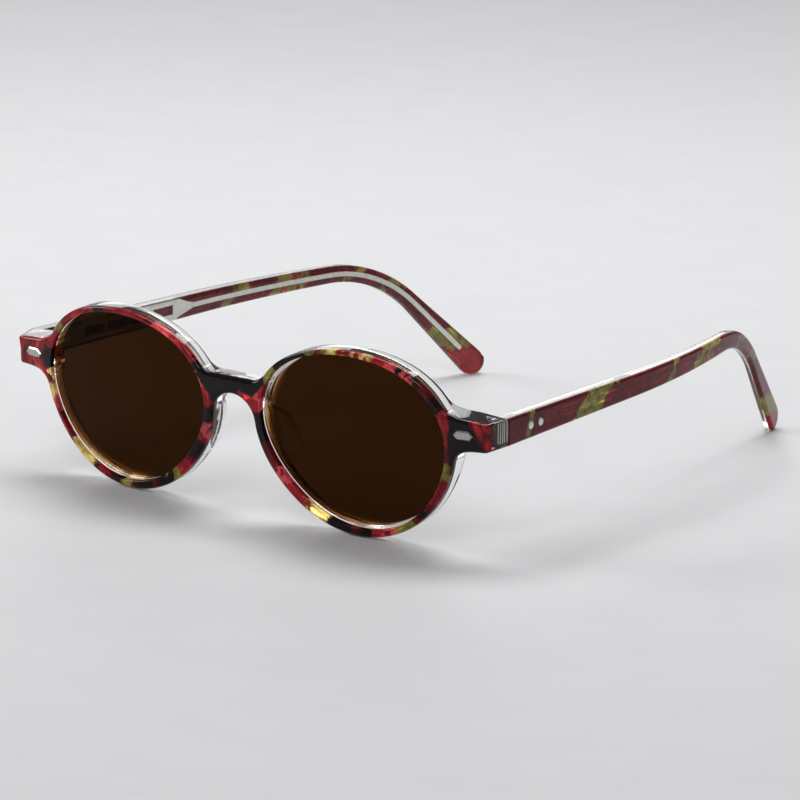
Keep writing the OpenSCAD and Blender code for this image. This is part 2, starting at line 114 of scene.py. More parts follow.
class Nodes:
    """A node tree, built by chaining nodes."""

    def __init__(self, tree):
        self.tree = tree
        tree.nodes.clear()

    def node(self, kind, inputs=None, family="ShaderNode", **settings):
        n = self.tree.nodes.new(family + kind)
        for key, value in settings.items():
            setattr(n, key, value)
        for key, value in (inputs or {}).items():
            self.put(n.inputs[key], value)
        return n

    def put(self, socket, value):
        if isinstance(value, bpy.types.NodeSocket):
            self.tree.links.new(value, socket)
        else:
            socket.default_value = value

    def math(self, operation, a, b=0.0, c=0.0):
        return self.node("Math", {0: a, 1: b, 2: c}, operation=operation).outputs[0]

    def plus(self, a, b):
        return self.math("ADD", a, b)

    def minus(self, a, b):
        return self.math("SUBTRACT", a, b)

    def times(self, a, b):
        return self.math("MULTIPLY", a, b)

    def spread(self, value, low, high, start=0.0, end=1.0):
        """A straight line from start at low to end at high, level on both sides."""
        return self.node("MapRange", {0: value, 1: low, 2: high, 3: start, 4: end}).outputs[0]

    def vector(self, x, y=0.0, z=0.0):
        return self.node("CombineXYZ", {0: x, 1: y, 2: z}).outputs[0]


class Finish(Nodes):
    """A node material."""

    def __init__(self, name):
        self.material = bpy.data.materials.new(name)
        self.material.use_nodes = True
        super().__init__(self.material.node_tree)
        self.out = self.tree.nodes.new("ShaderNodeOutputMaterial")

    def mix(self, factor, a, b, blend="MIX"):
        return self.node("Mix", {0: factor, 6: a, 7: b}, data_type="RGBA", blend_type=blend).outputs[2]

    def ramp(self, factor, stops):
        n = self.node("ValToRGB", {0: factor})
        ramp = n.color_ramp
        while len(ramp.elements) > 1:
            ramp.elements.remove(ramp.elements[-1])
        for i, (place, colour) in enumerate(stops):
            e = ramp.elements[0] if i == 0 else ramp.elements.new(place)
            e.position = place
            e.color = (*colour, 1)
        return n.outputs[0]

    def noise(self, vector, scale, detail=3.0, roughness=0.5, distortion=0.0):
        inputs = {"Vector": vector, "Scale": scale, "Detail": detail, "Roughness": roughness, "Distortion": distortion}
        return self.node("TexNoise", inputs).outputs[0]

    def coordinates(self, location=(0, 0, 0), rotation=(0, 0, 0), scale=(1000, 1000, 1000)):
        """Object coordinates in millimetres."""
        inputs = {"Vector": self.node("TexCoord").outputs["Object"], "Location": location, "Rotation": rotation,
                  "Scale": scale}
        return self.node("Mapping", inputs).outputs[0]

    def front_coordinates(self):
        """Coordinates in the front's own frame, in millimetres."""
        back = -(np.array([0, REST_Y, REST_Z]) @ REST)
        return self.coordinates(location=tuple(back), rotation=(-REST_A, 0, 0))

    def bump(self, height, strength, distance):
        return self.node("Bump", {"Height": height, "Strength": strength, "Distance": distance}).outputs[0]

    def shader(self, **inputs):
        n = self.node("BsdfPrincipled", {key.replace("_", " "): value for key, value in inputs.items()})
        self.tree.links.new(n.outputs[0], self.out.inputs[0])
        return self.material


# The bright red and the amber are partly the acetate's own patches and partly painted glints where light catches it
RED, DEEP, BRIGHT_RED_AND_GLINT, WINE = (0.38, 0.016, 0.024), (0.14, 0.006, 0.01), (0.8, 0.1, 0.115), (0.16, 0.0055, 0.011)
BLACK, OLIVE, AMBER_AND_GLINT = (0.008, 0.004, 0.005), (0.3, 0.27, 0.055), (0.85, 0.68, 0.2)


def bands(f, value, spans, high, soft):
    """Colour of a run of bands from 0 to high: spans are (start, colour), in rising order."""
    value = f.math("DIVIDE", value, high)
    colour = None
    for first in range(0, len(spans), 12):
        part = spans[first:first + 13]
        stops = [(0.0, part[0][1])]
        for (_, before), (start, after) in zip(part, part[1:]):
            stops += [(start / high - soft, before), (start / high + soft, after)]
        here = f.ramp(value, stops)
        past = f.math("GREATER_THAN", value, spans[first][0] / high + soft)
        colour = here if colour is None else f.mix(past, colour, here)
    return colour


def acetate(f, pattern, position, grain, strength=1.0):
    """Polished patterned acetate: clouds inside the chips of colour, and drawn-out lines of painted highlight."""
    clouds = f.noise(position, 0.5, 3.0, 0.55, 0.5)
    shade = f.ramp(clouds, [(0.3, (0.5, 0.45, 0.45)), (0.48, (1, 1, 1)), (0.7, (1.45, 1.3, 1.3))])
    # painted highlight: thin lines drawn out along the grain, bright in places and darker in others; strength sets how
    # much of them shows
    highlight_streaks = f.ramp(f.noise(grain, 1.0, 4.0, 0.6, 0.3), [(0.34, (0.7, 0.65, 0.65)), (0.5, (1, 1, 1)),
                                                          (0.62, (1.5, 1.4, 1.4)), (0.7, (2.6, 3.0, 2.8))])
    colour = f.mix(strength, f.mix(1.0, pattern, shade, "MULTIPLY"), highlight_streaks, "MULTIPLY")
    wear = f.noise(position, 6.0, 5.0, 0.7)
    rough = f.spread(wear, 0.35, 0.75, 0.03, 0.1)
    relief = f.noise(position, 0.35, 2.0)
    return f.shader(Base_Color=colour, Roughness=rough, IOR=1.28, Transmission_Weight=0.45,
                    Normal=f.bump(relief, 0.05, 0.0004))


def chips(f, position, size):
    """A value from -0.5 to 0.5 that changes from chip to chip, with wavy borders."""
    wave = f.node("TexNoise", {"Vector": position, "Scale": 0.45, "Detail": 2.0}).outputs["Color"]
    wave = f.node("VectorMath", {0: wave, 1: (4.0, 4.0, 4.0)}, operation="MULTIPLY").outputs[0]
    wavy = f.node("VectorMath", {0: position, 1: wave}, operation="ADD").outputs[0]
    cell = f.node("TexVoronoi", {"Vector": wavy, "Scale": 1 / size, "Smoothness": 0.35}, feature="SMOOTH_F1")
    return f.minus(f.node("SeparateColor", {0: cell.outputs["Color"]}).outputs[0], 0.5)


# Bands of colour by angle round each lens, in degrees; the bright red and amber bands are partly painted glints
RIM_RIGHT = [(0, DEEP), (5, RED), (20, BLACK), (32, DEEP), (37, BLACK), (44, BRIGHT_RED_AND_GLINT), (50, BLACK), (55, BRIGHT_RED_AND_GLINT),
             (64, RED), (76, AMBER_AND_GLINT), (83, RED), (93, AMBER_AND_GLINT), (102, OLIVE), (110, DEEP), (116, OLIVE), (124, BLACK),
             (148, OLIVE), (155, RED), (164, BRIGHT_RED_AND_GLINT), (172, BLACK), (193, DEEP), (205, BRIGHT_RED_AND_GLINT), (216, RED),
             (234, AMBER_AND_GLINT), (249, BLACK), (270, DEEP), (276, BLACK), (284, RED), (292, BRIGHT_RED_AND_GLINT), (298, OLIVE),
             (310, DEEP), (318, BLACK), (324, DEEP), (331, RED), (341, OLIVE), (352, DEEP)]
RIM_LEFT = [(0, BLACK), (16, RED), (28, OLIVE), (37, RED), (68, BLACK), (76, RED), (112, DEEP), (122, BRIGHT_RED_AND_GLINT),
            (136, RED), (150, BLACK), (157, BRIGHT_RED_AND_GLINT), (165, RED), (172, BLACK), (187, BRIGHT_RED_AND_GLINT), (194, RED),
            (200, BLACK), (208, DEEP), (213, RED), (224, OLIVE), (233, BLACK), (246, DEEP), (252, BLACK),
            (262, DEEP), (268, OLIVE), (277, BLACK), (285, DEEP), (292, RED), (297, BLACK), (303, AMBER_AND_GLINT),
            (318, DEEP), (328, RED), (334, DEEP), (341, BRIGHT_RED_AND_GLINT), (347, AMBER_AND_GLINT), (359, BLACK)]
# Bands of colour from the inner end of each endpiece, in millimetres
END_START, END_SPAN = 53.0, 15.0
END_RIGHT = [(0, BLACK), (8.9, DEEP), (9.7, RED), (11.4, DEEP), (12.2, RED)]
END_LEFT = [(0, BLACK), (3.6, DEEP), (4.2, RED), (6.0, BRIGHT_RED_AND_GLINT), (6.8, RED), (9.4, DEEP), (10.2, RED)]
# The bridge, in millimetres from its middle and from the arch's top: the black area's ends with their
# slopes, its furthest reach and its foot, and the red along the arch, partly a painted red glint, with its slope,
# start and end
BLACK_RIGHT, SLOPE_RIGHT, BLACK_LEFT, SLOPE_LEFT, BLACK_REACH, BRIDGE_FOOT = 5.7, 0.97, 6.9, 0.78, 9.2, -3.0
ARCH_RED, ARCH_RED_SLOPE, ARCH_RED_START, ARCH_RED_END = 2.3, 0.36, 2.0, 7.5


def rim_colour(f, x, z, wobble, side, spans):
    """Bands of colour round one lens."""
    dx = f.minus(f.times(x, float(side)), LENS_X)
    angle = f.math("DEGREES", f.math("ARCTAN2", z, dx))
    return bands(f, f.math("WRAP", f.plus(angle, wobble), 360.0, 0.0), spans, 360.0, 0.0022)


def end_colour(f, side, z, out):
    """Endpieces: dark by the rim and red towards the seam, out millimetres from their inner end."""
    lifted = f.plus(out, f.times(f.minus(z, END_Z), 0.68))
    wedge = f.plus(out, f.times(f.math("ABSOLUTE", f.minus(z, END_Z - 0.6)), 0.5))
    return f.mix(side, bands(f, wedge, END_LEFT, END_SPAN, 0.03), bands(f, lifted, END_RIGHT, END_SPAN, 0.02))


def bridge_colour(f, x, z, shift):
    """Black up to slanting ends, with red along the right half of the arch, partly a painted red glint; and the area
    this covers.
    """
    over = f.minus(z, ARCH_TOP)
    right_end = f.minus(f.minus(f.plus(x, shift), BLACK_RIGHT), f.times(over, SLOPE_RIGHT))
    left_end = f.minus(f.minus(f.minus(shift, x), BLACK_LEFT), f.times(over, SLOPE_LEFT))
    reach = f.minus(f.plus(f.math("ABSOLUTE", x), shift), BLACK_REACH)
    black_part = f.math("LESS_THAN", f.math("MAXIMUM", f.math("MAXIMUM", right_end, left_end), reach), 0.0)
    # the red along the arch stands in partly for a painted red glint
    arch_edge = f.minus(f.plus(f.minus(ARCH_RED, f.times(x, ARCH_RED_SLOPE)), shift), over)
    red_and_glint_part = f.times(f.math("GREATER_THAN", arch_edge, 0.0), f.math("GREATER_THAN", x, ARCH_RED_START))
    red_and_glint_part = f.times(red_and_glint_part, f.math("LESS_THAN", x, ARCH_RED_END))
    covered = f.times(f.math("MAXIMUM", black_part, red_and_glint_part), f.math("GREATER_THAN", over, BRIDGE_FOOT))
    return f.mix(red_and_glint_part, (*BLACK, 1), (*RED, 1)), covered


def front_pattern():
    """Patches of colour in the places where the photo has them, with wavy borders."""
    f = Finish("tortoise_front")
    p = f.front_coordinates()
    xyz = f.node("SeparateXYZ", {0: p})
    x, z = xyz.outputs[0], xyz.outputs[2]
    drift = f.minus(f.noise(p, 0.22, 3.0, 0.6, 0.6), 0.5)
    wobble = f.plus(f.times(drift, 14.0), f.times(chips(f, p, 2.6), 9.0))
    shift = f.times(wobble, 0.09)
    side = f.math("GREATER_THAN", x, 0.0)
    rims = f.mix(side, rim_colour(f, x, z, wobble, -1, RIM_LEFT), rim_colour(f, x, z, wobble, 1, RIM_RIGHT))
    out = f.minus(f.plus(f.math("ABSOLUTE", x), shift), END_START)
    bridge, at_bridge = bridge_colour(f, x, z, shift)
    pattern = f.mix(f.spread(out, 1.7, 2.3), rims, end_colour(f, side, z, out))
    dx = f.minus(f.math("ABSOLUTE", x), LENS_X)
    radius = f.math("SQRT", f.plus(f.times(dx, dx), f.times(z, z)))
    # coordinates of the painted highlight lines, drawn out round each lens
    grain = f.vector(f.times(f.math("ARCTAN2", z, dx), 5.0), f.times(radius, 1.3), f.times(side, 7.0))
    return acetate(f, f.mix(at_bridge, pattern, bridge), p, grain)


# Span of the temples' bands and ends of the bleed, in millimetres; the side of a lens where a glow is painted
TEMPLE_SPAN = 150.0
BLEED_FROM, BLEED_TO = 62.6, 63.4
GLOW_ACROSS, GLOW_UP = -0.85, -0.53


def temple_pattern(name, spans):
    """Slanting patches of colour along a temple, steadier by the rivets, with thin lines of painted highlight."""
    f = Finish(name)
    p = f.coordinates()
    along = f.node("Attribute", attribute_name="along").outputs["Fac"]
    across = f.node("Attribute", attribute_name="across").outputs["Fac"]
    drift = f.minus(f.noise(p, 0.25, 2.0, 0.5, 0.5), 0.5)
    wobble = f.plus(f.times(drift, 5.0), f.times(chips(f, p, 4.0), 4.0))
    slant = f.times(across, -1.3)
    calm = f.spread(along, 10.0, 18.0, 0.3, 1.0)
    shifted = f.times(f.plus(wobble, slant), calm)
    pattern = bands(f, f.plus(along, shifted), spans, TEMPLE_SPAN, 0.0013)
    # coordinates of the painted highlight lines, drawn out along the temple
    grain = f.vector(f.times(along, 0.12), f.times(across, 0.9))
    fine = f.vector(f.times(along, 0.09), f.times(across, 1.9), 3.7)
    # thin pale lines of painted highlight along the temple
    line = f.spread(f.noise(fine, 1.0, 2.0, 0.5), 0.62, 0.7)
    pattern = f.mix(line, pattern, f.mix(1.0, pattern, (3.2, 4.0, 3.2, 1), "MULTIPLY"))
    return acetate(f, pattern, p, grain, 0.55)


def clear_finish(name="clear_acetate", bleed=False):
    """Clear acetate; where bleed is set, red has run into it behind the ends of the patterned layer."""
    f = Finish(name)
    p = f.front_coordinates()
    haze = f.noise(p, 0.8, 4.0)
    rough = f.spread(haze, 0.3, 0.8, 0.0, 0.05)
    colour = f.ramp(haze, [(0.3, (0.95, 0.95, 0.96)), (0.7, (0.99, 0.99, 0.985))])
    if bleed:
        xyz = f.node("SeparateXYZ", {0: p})
        x, y = f.math("ABSOLUTE", xyz.outputs[0]), xyz.outputs[1]
        depth = f.minus(y, f.times(f.times(x, x), 0.5 / FRONT_R))
        depth = f.plus(depth, f.times(f.minus(f.noise(p, 0.9, 2.0), 0.5), 1.2))
        run = f.spread(depth, FRONT_SKIN + 0.2, FRONT_SKIN + 1.0, 1.0, 0.0)
        end = f.spread(x, BLEED_FROM, BLEED_TO)
        colour = f.mix(f.times(run, end), colour, (0.5, 0.03, 0.05, 1))
    return f.shader(Base_Color=colour, Roughness=rough, IOR=1.42, Transmission_Weight=1.0,
                    Normal=f.bump(f.noise(p, 0.3, 2.0), 0.05, 0.0004))


def lens_finish():
    """Brown lens with thinly coated faces; on one side its edge in the groove has a painted amber glow of gathered
    light.
    """
    f = Finish("brown_lens")
    p = f.front_coordinates()
    xyz = f.node("SeparateXYZ", {0: p})
    across = f.math("DIVIDE", f.minus(f.math("ABSOLUTE", xyz.outputs[0]), LENS_X), LENS_W / 2)
    height = f.math("DIVIDE", xyz.outputs[2], LENS_H / 2)
    radius = f.math("SQRT", f.plus(f.times(across, across), f.times(height, height)))
    smear = f.noise(p, 0.12, 5.0, 0.65, 1.2)
    rough = f.spread(smear, 0.3, 0.75, 0.0, 0.03)
    tint = f.ramp(smear, [(0.3, (0.026, 0.009, 0.002)), (0.7, (0.032, 0.011, 0.0026))])
    # painted glow: light from one side gathers in the edge across from it, and its amber is painted into the tint
    over = f.minus(xyz.outputs[0], f.times(f.math("SIGN", xyz.outputs[0]), LENS_X))
    facing = f.plus(f.times(f.math("DIVIDE", over, LENS_W / 2), GLOW_ACROSS), f.times(height, GLOW_UP))
    lit = f.spread(facing, 0.3, 0.8)
    glow = f.spread(radius, 0.955, 0.995)
    tint = f.mix(f.times(glow, lit), tint, (0.42, 0.13, 0.012, 1))
    ground = f.spread(radius, 1.004, 1.014)
    tint = f.mix(ground, tint, (0.72, 0.66, 0.6, 1))
    return f.shader(Base_Color=tint, Roughness=rough, IOR=1.08, Transmission_Weight=1.0,
                    Normal=f.bump(f.noise(p, 0.05, 1.0), 0.02, 0.0005))


def metal_finish(name, colour, rough_low, rough_high, grain, ribs=False):
    """Brushed metal; ribs paints dark shade into the grooves of the anchor that is sunk in the endpiece."""
    f = Finish(name)
    p = f.coordinates()
    lines = f.node("Mapping", {"Vector": p, "Scale": (1.0, 0.12, 1.0)}).outputs[0]
    brush = f.noise(lines, grain, 6.0, 0.7)
    spots = f.noise(p, 1.2, 4.0)
    rough = f.spread(brush, 0.3, 0.75, rough_low, rough_high)
    tint = f.mix(1.0, (*colour, 1), f.ramp(spots, [(0.3, (0.86, 0.86, 0.87)), (0.7, (1, 1, 1))]), "MULTIPLY")
    if ribs:
        xyz = f.node("SeparateXYZ", {0: p})
        mirrored = f.vector(f.math("ABSOLUTE", xyz.outputs[0]), xyz.outputs[1], xyz.outputs[2])
        along = REST @ JOINT @ [0, 1, 0]
        length = f.node("VectorMath", {0: mirrored, 1: tuple(along)}, operation="DOT_PRODUCT").outputs["Value"]
        length = f.minus(length, float(along @ joint_to_table([0, 0, 0], 1)) * 1000)
        wave = f.math("COSINE", f.times(length, 2 * math.pi / RIB_PITCH))
        # painted shade: the grooves between the anchor's ribs are darkened
        groove = f.spread(wave, -0.9, 0.2, 1.0, 0.0)
        sunk = f.times(f.math("LESS_THAN", length, -0.15), groove)
        tint = f.mix(sunk, tint, (0.05, 0.04, 0.04, 1))
    return f.shader(Base_Color=tint, Metallic=1.0, Roughness=rough, Normal=f.bump(brush, 0.12, 0.00005))


# Bands of colour along each temple, in millimetres from the seam
TEMPLE_RIGHT = [(0, WINE), (6.9, OLIVE), (8.4, WINE), (28.3, OLIVE), (38.6, WINE), (65.5, OLIVE), (68.5, WINE),
                (78, OLIVE), (82.8, RED), (84.4, OLIVE), (88.6, WINE), (105, OLIVE), (106.4, WINE), (116, OLIVE),
                (118, WINE), (135.5, OLIVE), (143.2, RED)]
TEMPLE_LEFT = [(0, WINE), (20, OLIVE), (31, WINE), (65, OLIVE), (68, WINE), (79.5, OLIVE), (83.4, RED),
               (85, OLIVE), (88, WINE), (100.5, OLIVE), (102.4, WINE), (111, OLIVE), (114, WINE), (131, OLIVE),
               (138.5, RED)]

FRONT_LOOK = front_pattern()
TEMPLE_LOOK = {1: temple_pattern("tortoise_temple_right", TEMPLE_RIGHT),
               -1: temple_pattern("tortoise_temple_left", TEMPLE_LEFT)}
CLEAR_LOOK = clear_finish()
FRONT_CLEAR_LOOK = clear_finish("clear_acetate_front", bleed=True)
LENS_LOOK = lens_finish()
STEEL_LOOK = metal_finish("satin_steel", (0.58, 0.57, 0.55), 0.16, 0.3, 4.0)
ANCHOR_LOOK = metal_finish("ribbed_steel", (0.62, 0.6, 0.57), 0.15, 0.3, 9.0, ribs=True)
CORE_LOOK = metal_finish("core_steel", (0.78, 0.79, 0.72), 0.12, 0.28, 9.0)
RIVET_LOOK = metal_finish("rivet_steel", (0.85, 0.84, 0.81), 0.2, 0.4, 10.0)
POLISHED_LOOK = metal_finish("polished_steel", (0.46, 0.45, 0.43), 0.16, 0.34, 14.0)

# ---- shapes that follow a rule


class Recipe(Nodes):
    """A Geometry Nodes tree with named inputs."""

    def __init__(self, name, inputs):
        super().__init__(bpy.data.node_groups.new(name, "GeometryNodeTree"))
        self.sockets = {}
        for label, kind in inputs.items():
            socket = self.tree.interface.new_socket(label, in_out="INPUT", socket_type="NodeSocket" + kind)
            self.sockets[label] = socket.identifier
        self.tree.interface.new_socket("Geometry", in_out="OUTPUT", socket_type="NodeSocketGeometry")
        self.given = self.tree.nodes.new("NodeGroupInput").outputs
        self.out = self.tree.nodes.new("NodeGroupOutput")

    def step(self, kind, inputs=None, **settings):
        return self.node(kind, inputs, "GeometryNode", **settings)

    def profile(self, value, heights):
        """A value read off straight lines through evenly spaced heights."""
        n = self.node("FloatCurve", {1: value})
        points = n.mapping.curves[0].points
        last = len(heights) - 1
        for i in range(1, last):
            points.new(i / last, heights[i])
        n.mapping.update()
        for point, height in zip(points, heights):
            point.location[1] = height
            point.handle_type = "VECTOR"
        n.mapping.update()
        return n.outputs[0]

    def finish(self, mesh):
        whole = self.step("RealizeInstances", {0: mesh}).outputs[0]
        done = self.step("SetMaterial", {"Geometry": whole, "Material": self.given["Material"]}).outputs[0]
        self.tree.links.new(done, self.out.inputs[0])

    def make(self, **values):
        """Vertices and faces of the shape for the given inputs."""
        carrier = bpy.data.objects.new("carrier", bpy.data.meshes.new("carrier"))
        scene.collection.objects.link(carrier)
        modifier = carrier.modifiers.new("shape", "NODES")
        modifier.node_group = self.tree
        for label, value in values.items():
            modifier[self.sockets[label.replace("_", " ")]] = value
        bpy.context.view_layer.update()
        mesh = bpy.data.meshes.new_from_object(carrier.evaluated_get(bpy.context.evaluated_depsgraph_get()))
        bpy.data.objects.remove(carrier)
        points = np.array([v.co for v in mesh.vertices])
        return points, [tuple(f.vertices) for f in mesh.polygons]


def turned(recipe, around, rows, shares, depths, raised=None):
    """A skin round the y axis: at each row, a share of the outline's size, a depth, and a raised edge."""
    grid = recipe.step("MeshGrid", {"Size X": 1.0, "Size Y": 1.0, "Vertices X": around + 1, "Vertices Y": rows})
    place = recipe.node("SeparateXYZ", {0: recipe.step("InputPosition").outputs[0]})
    angle = recipe.times(recipe.plus(place.outputs[0], 0.5), 2 * math.pi)
    row = recipe.plus(place.outputs[1], 0.5)
    given = recipe.given
    three = recipe.times(angle, 3.0)
    outline = recipe.plus(1.0, recipe.times(given["Drop"], recipe.math("SINE", three)))
    lean = recipe.plus(recipe.math("SINE", recipe.times(angle, 2.0)), recipe.times(recipe.math("COSINE", three), 0.5))
    outline = recipe.minus(outline, recipe.times(given["Lean"], lean))
    outline = recipe.times(outline, recipe.profile(row, shares))
    edge = 0.0
    if raised:
        full = recipe.plus(given["Tongue height"], given["Room"])
        rise = recipe.times(recipe.profile(row, raised), full)
        edge = recipe.minus(rise, given["Room"])
        edge = recipe.times(edge, recipe.math("GREATER_THAN", recipe.profile(row, shares), 0.999))
    flat = []
    for size, turning in (("Width", "COSINE"), ("Height", "SINE")):
        reach = recipe.plus(recipe.times(recipe.times(given[size], 0.5), outline), edge)
        flat.append(recipe.times(reach, recipe.math(turning, angle)))
    depth = recipe.times(recipe.profile(row, depths), given["Thickness"])
    return grid.outputs[0], flat, depth


def joined(recipe, mesh, x, y, z):
    """The skin moved into place, with its seam and poles joined."""
    moved = recipe.step("SetPosition", {"Geometry": mesh, "Position": recipe.vector(x, y, z)})
    return recipe.step("MergeByDistance", {"Geometry": moved.outputs[0], "Distance": 0.0004}).outputs[0]


def lens_recipe():
    """Spherical faces inside the rim's outline, with a tongue round the edge."""
    sizes = ["Width", "Height", "Drop", "Lean", "Room", "Tongue height", "Thickness", "Face radius",
             "Centre across", "Centre depth"]
    recipe = Recipe("lens_shape", {**dict.fromkeys(sizes, "Float"), "Material": "Material"})
    face = [0.0, 0.12, 0.26, 0.4, 0.54, 0.66, 0.76, 0.85, 0.92, 0.965, 0.99, 1.0]
    near, far = (LENS_T - TONGUE_T) / 2 / LENS_T, (LENS_T + TONGUE_T) / 2 / LENS_T
    rim = [(0.0, 0.06), (0.0, near), (0.94, near), (1.0, near + 0.04), (1.0, 0.5), (1.0, far - 0.04), (0.94, far),
           (0.0, far), (0.0, 0.94)]
    shares = face + [1.0] * len(rim) + face[::-1]
    depths = [0.0] * len(face) + [d for _, d in rim] + [1.0] * len(face)
    raised = [0.0] * len(face) + [r for r, _ in rim] + [0.0] * len(face)
    mesh, (x, z), depth = turned(recipe, 240, len(shares), shares, depths, raised)
    given = recipe.given
    across = recipe.minus(x, given["Centre across"])
    inner = recipe.minus(given["Face radius"], depth)
    square = recipe.minus(recipe.times(inner, inner), recipe.times(across, across))
    square = recipe.minus(square, recipe.times(z, z))
    y = recipe.minus(given["Centre depth"], recipe.math("SQRT", square))
    recipe.finish(joined(recipe, mesh, x, y, z))
    return recipe


def rivet_recipe():
    """A row of round rivets: domed head, shank and flattened end."""
    sizes = ["Width", "Height", "Drop", "Lean", "Thickness", "Spacing"]
    recipe = Recipe("rivet_row", {**dict.fromkeys(sizes, "Float"), "Count": "Int", "Material": "Material"})
    full = HEAD_H + TEMPLE_T + PEEN_H
    outline = [(0, 0), (0.25, 0.003), (0.45, 0.01), (0.62, 0.025), (0.74, 0.05), (0.82, 0.1), (RIVET_HEAD_R, 0.16),
               (RIVET_HEAD_R, HEAD_H), (RIVET_R, HEAD_H), (RIVET_R, HEAD_H + 1.0), (RIVET_R, HEAD_H + TEMPLE_T),
               (PEEN_R, HEAD_H + TEMPLE_T), (PEEN_R, full - 0.08), (0.68, full - 0.03), (0.55, full - 0.005),
               (0.25, full), (0, full)]
    shares, depths = [r / RIVET_HEAD_R for r, _ in outline], [d / full for _, d in outline]
    mesh, (x, z), depth = turned(recipe, 40, len(outline), shares, depths)
    one = joined(recipe, mesh, x, depth, z)
    gap = recipe.vector(recipe.given["Spacing"])
    spots = recipe.step("MeshLine", {"Count": recipe.given["Count"], "Offset": gap}).outputs[0]
    recipe.finish(recipe.step("InstanceOnPoints", {"Points": spots, "Instance": one}).outputs[0])
    return recipe


# ---- outlines


def lens_point(a):
    """Outline of a lens at the angles a."""
    m = 1 + LENS_DROP * np.sin(3 * a) - LENS_LEAN * np.sin(2 * a) - LENS_LEAN / 2 * np.cos(3 * a)
    return np.stack([LENS_W / 2 * m * np.cos(a), LENS_H / 2 * m * np.sin(a)], 1)


def even(points, step):
    """A closed loop resampled at an even step."""
    closed = np.vstack([points, points[:1]])
    run = np.concatenate([[0], np.cumsum(np.linalg.norm(np.diff(closed, axis=0), axis=1))])
    n = int(round(run[-1] / step))
    at = np.linspace(0, run[-1], n, endpoint=False)
    return np.stack([np.interp(at, run, closed[:, i]) for i in (0, 1)], 1)


def eased(points, steps):
    """Rounds a closed loop by a Gaussian over a number of points."""
    n = len(points)
    k = np.fft.fftfreq(n) * 2 * np.pi
    keep = np.exp(-0.5 * (k * steps) ** 2)
    return np.stack([np.real(np.fft.ifft(np.fft.fft(points[:, i]) * keep)) for i in (0, 1)], 1)


def winding(points):
    """1 for a closed loop that runs counter-clockwise, else -1."""
    x, y = points.T
    return np.sign(np.sum(x * np.roll(y, -1) - np.roll(x, -1) * y))


def outward(points, hole=False):
    """Unit normals of a closed loop that point away from the solid."""
    d = np.roll(points, -1, 0) - np.roll(points, 1, 0)
    n = np.stack([d[:, 1], -d[:, 0]], 1) / np.linalg.norm(d, axis=1)[:, None]
    return n * winding(points) * (-1 if hole else 1)


def front_edge_loops():
    """Boundary loops of the front's face, read from the CAD node, in the front's frame."""
    bm = bmesh.new()
    bm.from_mesh(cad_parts["front_skin"].data)
    bmesh.ops.remove_doubles(bm, verts=bm.verts, dist=2e-6)
    at = table_to_front(np.array([v.co for v in bm.verts]))
    on_face = np.abs(np.hypot(at[:, 0], at[:, 1] - FRONT_R) - FRONT_R) < 0.03
    bm.faces.ensure_lookup_table()
    face = [all(on_face[v.index] for v in q.verts) for q in bm.faces]
    follow = {}
    for e in bm.edges:
        on = [q.index for q in e.link_faces if face[q.index]]
        if len(on) == 1 and len(e.link_faces) == 2:
            a, b = (v.index for v in e.verts)
            follow.setdefault(a, []).append(b)
            follow.setdefault(b, []).append(a)
    loops, seen = [], set()
    for start in follow:
        if start in seen:
            continue
        loop, here, before = [], start, None
        while here not in seen:
            seen.add(here)
            loop.append(here)
            on = [v for v in follow[here] if v != before and v not in seen]
            before = here
            if not on:
                break
            here = on[0]
        loops.append(at[loop][:, [0, 2]])
    bm.free()
    return loops


# ---- plates


def inside(points, loops):
    """Even-odd test of points against closed loops."""
    hit = np.zeros(len(points), bool)
    y = points[:, 1:2]
    for a in loops:
        b = np.roll(a, -1, 0)
        cross = (a[:, 1] > y) != (b[:, 1] > y)
        with np.errstate(divide="ignore", invalid="ignore"):
            x = a[:, 0] + (y - a[:, 1]) / (b[:, 1] - a[:, 1]) * (b[:, 0] - a[:, 0])
        hit ^= (np.sum(cross & (points[:, 0:1] < x), 1) % 2).astype(bool)
    return hit


def cap(rings):
    """Triangles that fill closed rings; returns extra inner points and faces over rings then extras."""
    edge = np.vstack(rings)
    lo, hi = edge.min(0), edge.max(0)
    gx, gy = np.meshgrid(np.arange(lo[0], hi[0], CAP_STEP), np.arange(lo[1], hi[1], CAP_STEP * 0.866))
    gx = gx + (np.arange(gx.shape[0]) % 2)[:, None] * CAP_STEP / 2
    grid = np.stack([gx.ravel(), gy.ravel()], 1)
    grid = grid[inside(grid, rings)]
    near = np.full(len(grid), np.inf)
    for i in range(0, len(edge), 400):
        near = np.minimum(near, ((grid[:, None] - edge[None, i:i + 400]) ** 2).sum(2).min(1))
    grid = grid[near > (0.55 * CAP_STEP) ** 2]
    verts = [Vector(p) for p in np.vstack([edge, grid])]
    edges, at = [], 0
    for ring in rings:
        n = len(ring)
        edges += [(at + i, at + (i + 1) % n) for i in range(n)]
        at += n
    made = delaunay_2d_cdt(verts, edges, [], 0, 1e-7)
    origin = [o[0] if o else None for o in made[3]]
    triangles = [tuple(origin[i] for i in t) for t in made[2]]
    return grid, enclosed(triangles, {frozenset(e) for e in edges})


def enclosed(triangles, fence):
    """The triangles inside the fence of edges: crossing it changes between outside and inside."""
    beside = {}
    for n, t in enumerate(triangles):
        for i in range(3):
            beside.setdefault(frozenset((t[i], t[i - 1])), []).append(n)
    within, front = {}, []
    for edge, sides in beside.items():
        if len(sides) == 1 and sides[0] not in within:
            within[sides[0]] = edge in fence
            front.append(sides[0])
    while front:
        n = front.pop()
        t = triangles[n]
        for i in range(3):
            edge = frozenset((t[i], t[i - 1]))
            for other in beside[edge]:
                if other not in within:
                    within[other] = within[n] != (edge in fence)
                    front.append(other)
    return [t for n, t in enumerate(triangles) if within.get(n)]


